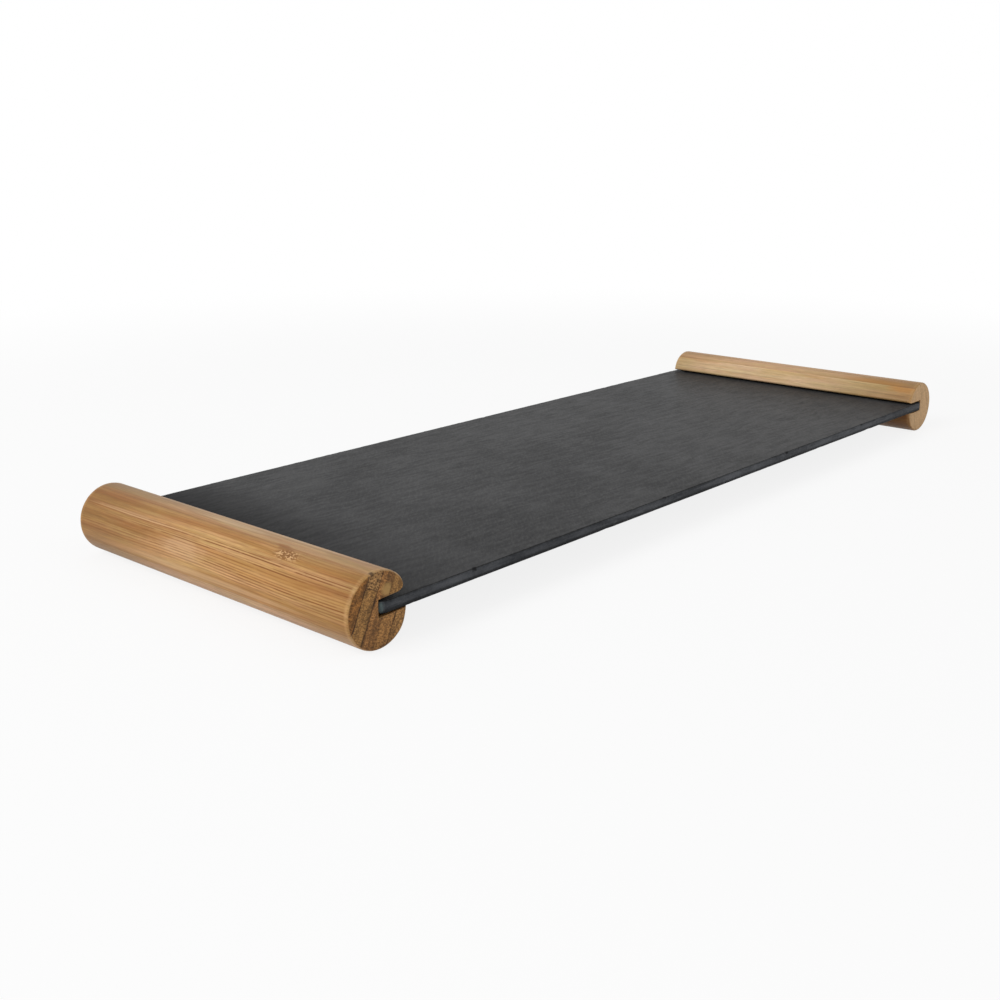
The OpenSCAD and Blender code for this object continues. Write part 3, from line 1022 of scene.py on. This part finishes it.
def corner_wear(place, seed):
    """How far a corner line is worn back at a place along it, less on the underside."""
    flat = Vector((place.x, place.y, 0))
    nick = max(0.0, waver(flat, CHANCE_SIZE, seed + CHANCE_SEED) - CHANCE_FROM) * CHANCE_DEPTH
    return (wear_at(flat, CORNER_WEAR, seed) + nick) * (1 if place.z > 0 else UNDERSIDE_SHARE) * MM


def nick_depth(place):
    """Extra wear at the few deeper nicks of the front upper corner line."""
    if place.y > 0 or place.z < 0:
        return 0.0
    return sum(deep * MM * max(0.0, 1 - ((place.x / MM - at) / wide) ** 2) for at, wide, deep in NICKS)


X, Y, Z = 0, 1, 2


def pare_corner(place, first, second, amount):
    """Pushes a point in from the corner line between the sides of two axes, as a chamfer would."""
    missing = amount
    for axis in (first, second):
        missing -= half_slab[axis] - abs(place[axis])
    if missing > 0:
        for axis in (first, second):
            place[axis] -= math.copysign(missing / 2, place[axis])


def worn_place(place):
    """Where a point of the shell lies once the slab is worn; each corner line has its own seed."""
    worn = place.copy()
    level = math.copysign(1, place.z)
    side = math.copysign(1, place.y)
    pare_corner(worn, X, Y, wear_at(place, UPRIGHT_WEAR) * MM)
    pare_corner(worn, Y, Z, corner_wear(place, 3 * level + 7 * side) + nick_depth(place))
    pare_corner(worn, X, Z, corner_wear(place, 60 + 3 * level))
    if half_slab.z - abs(place.z) < NEAR:
        worn.z -= level * MM * wear_at(place, FACE_WEAR)
    if half_slab.y - abs(place.y) < NEAR:
        worn.y -= side * MM * max(0.0, wear_at(place, SIDE_WEAR))
    return worn


def make_slate(*materials):
    """The slab: the shell, worn all over and lifted to its place between the rods."""
    bm = slab_shell()
    for v in bm.verts:
        v.co = worn_place(v.co) + slab_centre
    slab = finished_piece(bm, "slate_board", *materials)
    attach(slab, "root")
    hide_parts("slate_slab")
    return slab


# %% [markdown]
# Oiled slate is nearly black. Soft clouds and long faint streaks run along the slab, and a fine
# grain crosses them at a slant, the way this sheet split. Its mica glitters in specks of a few
# hundredths of a millimetre, too fine to show when the whole board is in view, so the grain is
# drawn about a millimetre wide. The honed top is smooth enough to mirror the room as a broad
# pale sheen that grows towards grazing, and the streaks vary that sheen a little. The dressed
# edge is bare stone: rougher, a little lighter and bluer. Two places are darker: the crushed
# corner lines, which drink the most oil, with painted shade that widens the band along the lower
# ones; and a band beside each rod, strongest at one end and at the left rod, which is painted
# shade and a painted dark reflection where the rod stands over the slate. There the top is also
# rougher, so its sheen is duller.

# %% Noises and dark places of the slate
# The streaks lie almost along the board, and the grain slants across it
STREAK_TURN = math.radians(2)
GRAIN_TURN = math.radians(-41)
# Waves per mm: clouds of some 45 mm, streaks 14 mm long and 2 mm wide on a wave of 20 mm, and a
# grain 4 mm long and 1 mm wide
CLOUD_WAVES = 0.022
SLOW_WAVES = 0.05
STREAK_WAVES = (0.07, 0.5, 0.9)
GRAIN_WAVES = (0.27, 0.9, 0.9)
STREAK_BEND_MM = (0, 6, 0)
half_mm = half_slab / MM
centre_mm = slab_centre / MM
clear_x = (axis_x - rod_radius) / MM
# Painted shade: the lower corner lines get a wider dark band than the upper ones, by twice this in mm
LOWER_SHADE_LIFT = Vector((0, 0, 0.5))
# Where the corner's dark band ends and is full, in mm from the corner line, and its strength
CORNER_ENDS, CORNER_FULL, CORNER_STRENGTH = 2.1, 0.95, 0.8
# Where the painted shade beside a rod begins and is full along X in mm, and how ragged its edge is
BAND_BEGINS, BAND_FULL = clear_x - 45, clear_x + 6
BAND_RAGGED = 14
# How many times the size of a nick its dark stain is
STAIN_SIZE = 1.3


def slate_noises(tree, in_mm):
    """The clouds, the slow wave that bends the streaks, the streaks and the grain."""
    turned = add(tree, "Mapping", {"Vector": in_mm, "Rotation": (0, 0, STREAK_TURN)})
    clouds = add(tree, "TexNoise", {
        "Vector": turned, "Scale": CLOUD_WAVES, "Detail": 5.0, "Roughness": 0.62})
    wave = add(tree, "TexNoise", {"Vector": turned, "Scale": SLOW_WAVES, "Detail": 1.0})
    pushed = add(tree, "VectorMath", {0: wave.outputs["Color"], 1: STREAK_BEND_MM, 2: turned},
                 operation="MULTIPLY_ADD")
    long_way = add(tree, "VectorMath", {0: pushed, 1: STREAK_WAVES}, operation="MULTIPLY")
    streaks = add(tree, "TexNoise", {"Vector": long_way, "Scale": 1.0, "Detail": 3.0, "Roughness": 0.6})
    slanted = add(tree, "Mapping", {"Vector": in_mm, "Rotation": (0, 0, GRAIN_TURN)})
    split_way = add(tree, "VectorMath", {0: slanted, 1: GRAIN_WAVES}, operation="MULTIPLY")
    grain = add(tree, "TexNoise", {"Vector": split_way, "Scale": 1.0, "Detail": 4.0, "Roughness": 0.75})
    return clouds, wave, streaks, grain


def painted_shade_beside_rods(tree, centred, distance, ragged, strength):
    """How much painted shade lies beside the rods: most at the left one, and at one end of each band."""
    soft = add(tree, "Math", {0: ragged, 1: BAND_RAGGED, 2: distance}, operation="MULTIPLY_ADD")
    rod_shade = add(tree, "MapRange", {"Value": soft, "From Min": BAND_BEGINS, "From Max": BAND_FULL,
                                      "To Max": strength}, **EASED)
    placed = add(tree, "SeparateXYZ", {0: centred})
    end = add(tree, "Math", {0: placed.outputs["X"]}, operation="SIGN")
    along = add(tree, "Math", {0: end, 1: placed.outputs["Y"]}, operation="MULTIPLY")
    at_one_end = add(tree, "MapRange", {"Value": along, "From Min": half_mm.y, "From Max": -0.7 * half_mm.y,
                                     "To Min": 0.3})
    left_more = add(tree, "MapRange", {"Value": end, "From Min": -1, "From Max": 1, "To Min": 1.0,
                                       "To Max": 0.1})
    for gain in (at_one_end, left_more):
        rod_shade = add(tree, "Math", {0: rod_shade, 1: gain}, operation="MULTIPLY")
    return rod_shade


def dark_places(tree, in_mm, ragged, beside_rods):
    """How much shade is painted beside the rods, and how dark it, the corner lines or a nick make a place.
    """
    centred = add(tree, "VectorMath", {0: in_mm, 1: centre_mm + LOWER_SHADE_LIFT}, operation="SUBTRACT")
    size = add(tree, "VectorMath", {0: centred}, operation="ABSOLUTE")
    apart = add(tree, "SeparateXYZ", {0: size})
    from_side = add(tree, "Math", {0: half_mm.y, 1: apart.outputs["Y"]}, operation="SUBTRACT")
    from_face = add(tree, "Math", {0: half_mm.z, 1: apart.outputs["Z"]}, operation="SUBTRACT")
    from_corner = add(tree, "Math", {0: from_side, 1: from_face}, operation="ADD")
    uneven = add(tree, "Math", {0: ragged, 1: 0.9, 2: from_corner}, operation="MULTIPLY_ADD")
    corner = add(tree, "MapRange", {"Value": uneven, "From Min": CORNER_ENDS, "From Max": CORNER_FULL,
                                    "To Max": CORNER_STRENGTH}, **EASED)
    rod_shade = painted_shade_beside_rods(tree, centred, apart.outputs["X"], ragged, beside_rods)
    dark = add(tree, "Math", {0: corner, 1: rod_shade}, operation="MAXIMUM")
    for at, wide, deep in NICKS:
        place = (at, slate_low.y / MM, slate_high.z / MM)
        stain = (STAIN_SIZE * wide, STAIN_SIZE * deep, STAIN_SIZE * deep)
        nick = mark_share(tree, in_mm, place, stain)
        dark = add(tree, "Math", {0: dark, 1: nick}, operation="MAXIMUM")
    return rod_shade, dark


# %% Finishes of the slate
# The black of oiled, crushed stone, also used for the painted shade beside the rods and the lower corners
MICA_GREY, OIL_AND_SHADE_BLACK = "#8a8a88", "#121213"
MICA_STRENGTH = 0.1
# How much rougher the top is in the painted shade beside the rods, which dulls its sheen there
SHADE_BAND_DULLING = 0.25
# A painted reflection on the top, and a painted highlight on the crushed upright corner in the left slot
SLATE_PAINTED_LIGHT = [
    ((-147, 52, 18.15), (16.0, 9.0, 4.0), "#4a4a4a", 0.35),
    ((-228.2, -87, 15.9), (0.9, 3.0, 2.2), "#6f8382", 0.45)]


def make_slate_finish(name, dark, pale, streak_share, roughness, gloss, relief_mm, beside_rods):
    """Slate with clouds, long streaks and a slanting grain, dark corners, and painted shade by the rods."""
    material, tree = new_material(name)
    coordinates = add(tree, "TexCoord")
    in_mm = add(tree, "Mapping", {"Vector": coordinates.outputs["Object"], "Scale": IN_MM})
    clouds, wave, streaks, grain = slate_noises(tree, in_mm)
    cloud = add(tree, "MapRange", {"Value": clouds, "From Min": 0.36, "From Max": 0.64}, **EASED)
    streak = add(tree, "MapRange", {"Value": streaks, "From Min": 0.34, "From Max": 0.64}, **EASED)
    lined = add(tree, "MapRange", {"Value": wave, "From Min": 0.35, "From Max": 0.65,
                                   "To Min": 0.4 * streak_share, "To Max": 1.6 * streak_share})
    share = add(tree, "Mix", {0: lined, 2: cloud, 3: streak}, data_type="FLOAT")
    stone = add(tree, "Mix", {SHARE: share, FIRST: linear(dark), SECOND: linear(pale)}, data_type="RGBA")
    mica = add(tree, "MapRange", {"Value": grain, "From Min": 0.4, "From Max": 0.72,
                                  "To Max": MICA_STRENGTH}, **EASED)
    flecked = add(tree, "Mix", {SHARE: mica, FIRST: stone, SECOND: linear(MICA_GREY)}, data_type="RGBA")
    rod_shade, oiled = dark_places(tree, in_mm, grain, beside_rods)
    marked = paint_marks(tree, in_mm, flecked, SLATE_PAINTED_LIGHT)
    # Darker corner lines and nicks, and painted shade beside the rods and along the lower corners
    colour = add(tree, "Mix", {SHARE: oiled, FIRST: marked, SECOND: linear(OIL_AND_SHADE_BLACK)}, data_type="RGBA")
    height = add(tree, "Math", {0: streak, 1: 0.5, 2: grain}, operation="MULTIPLY_ADD")
    bump = add(tree, "Bump", {"Height": height, "Strength": 0.5, "Distance": relief_mm * MM})
    honed = add(tree, "MapRange", {"Value": streak, "To Min": roughness + 0.05, "To Max": roughness - 0.02})
    dulled_in_shade = add(tree, "Math", {0: rod_shade, 1: SHADE_BAND_DULLING, 2: honed}, operation="MULTIPLY_ADD")
    shader = add(tree, "BsdfPrincipled", {
        "Base Color": colour, "Roughness": dulled_in_shade, "IOR": 1.5, "Specular IOR Level": gloss,
        "Normal": bump})
    add(tree, "OutputMaterial", {"Surface": shader})
    return material


oiled_slate = make_slate_finish(
    "oiled_honed_slate", dark="#2d2d2e", pale="#3e3e3f", streak_share=0.27, roughness=0.42, gloss=0.031,
    relief_mm=0.03, beside_rods=0.75)
dressed_slate = make_slate_finish(
    "dressed_slate_edge", dark="#313337", pale="#57595d", streak_share=0.3, roughness=0.6, gloss=0.1,
    relief_mm=0.15, beside_rods=0.0)
slab = make_slate(oiled_slate, dressed_slate)
print(slab.name, len(slab.data.polygons), "faces")

# %% [markdown]
# ## Adhesive
# The slab is held by a bed of dark adhesive deep in each slot. The construction model has the
# right shape for it, so it only gets a finish: a cured sealant, matt and nearly black.

# %% Finish of the adhesive
SEALANT_DARK, SEALANT_PALE = "#151413", "#262422"
# Lumps of some 1.4 mm, as waves per metre
LUMP_WAVES = 700.0


def make_sealant():
    """Cured black sealant: matt, with a faint unevenness."""
    material, tree = new_material("cured_black_sealant")
    coordinates = add(tree, "TexCoord")
    lumps = add(tree, "TexNoise", {
        "Vector": coordinates.outputs["Object"], "Scale": LUMP_WAVES, "Detail": 2.0})
    bump = add(tree, "Bump", {"Height": lumps, "Strength": 0.3, "Distance": 0.1 * MM})
    shade = add(tree, "Mix", {SHARE: lumps, FIRST: linear(SEALANT_DARK), SECOND: linear(SEALANT_PALE)},
                data_type="RGBA")
    shader = add(tree, "BsdfPrincipled", {"Base Color": shade, "Roughness": 0.7, "Normal": bump})
    add(tree, "OutputMaterial", {"Surface": shader})
    return material


sealant = make_sealant()
for end_name in ("left_", "right_"):
    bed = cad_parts[end_name + "adhesive"]
    bed.data.materials.clear()
    bed.data.materials.append(sealant)
    print(bed.name, "finished as", sealant.name)
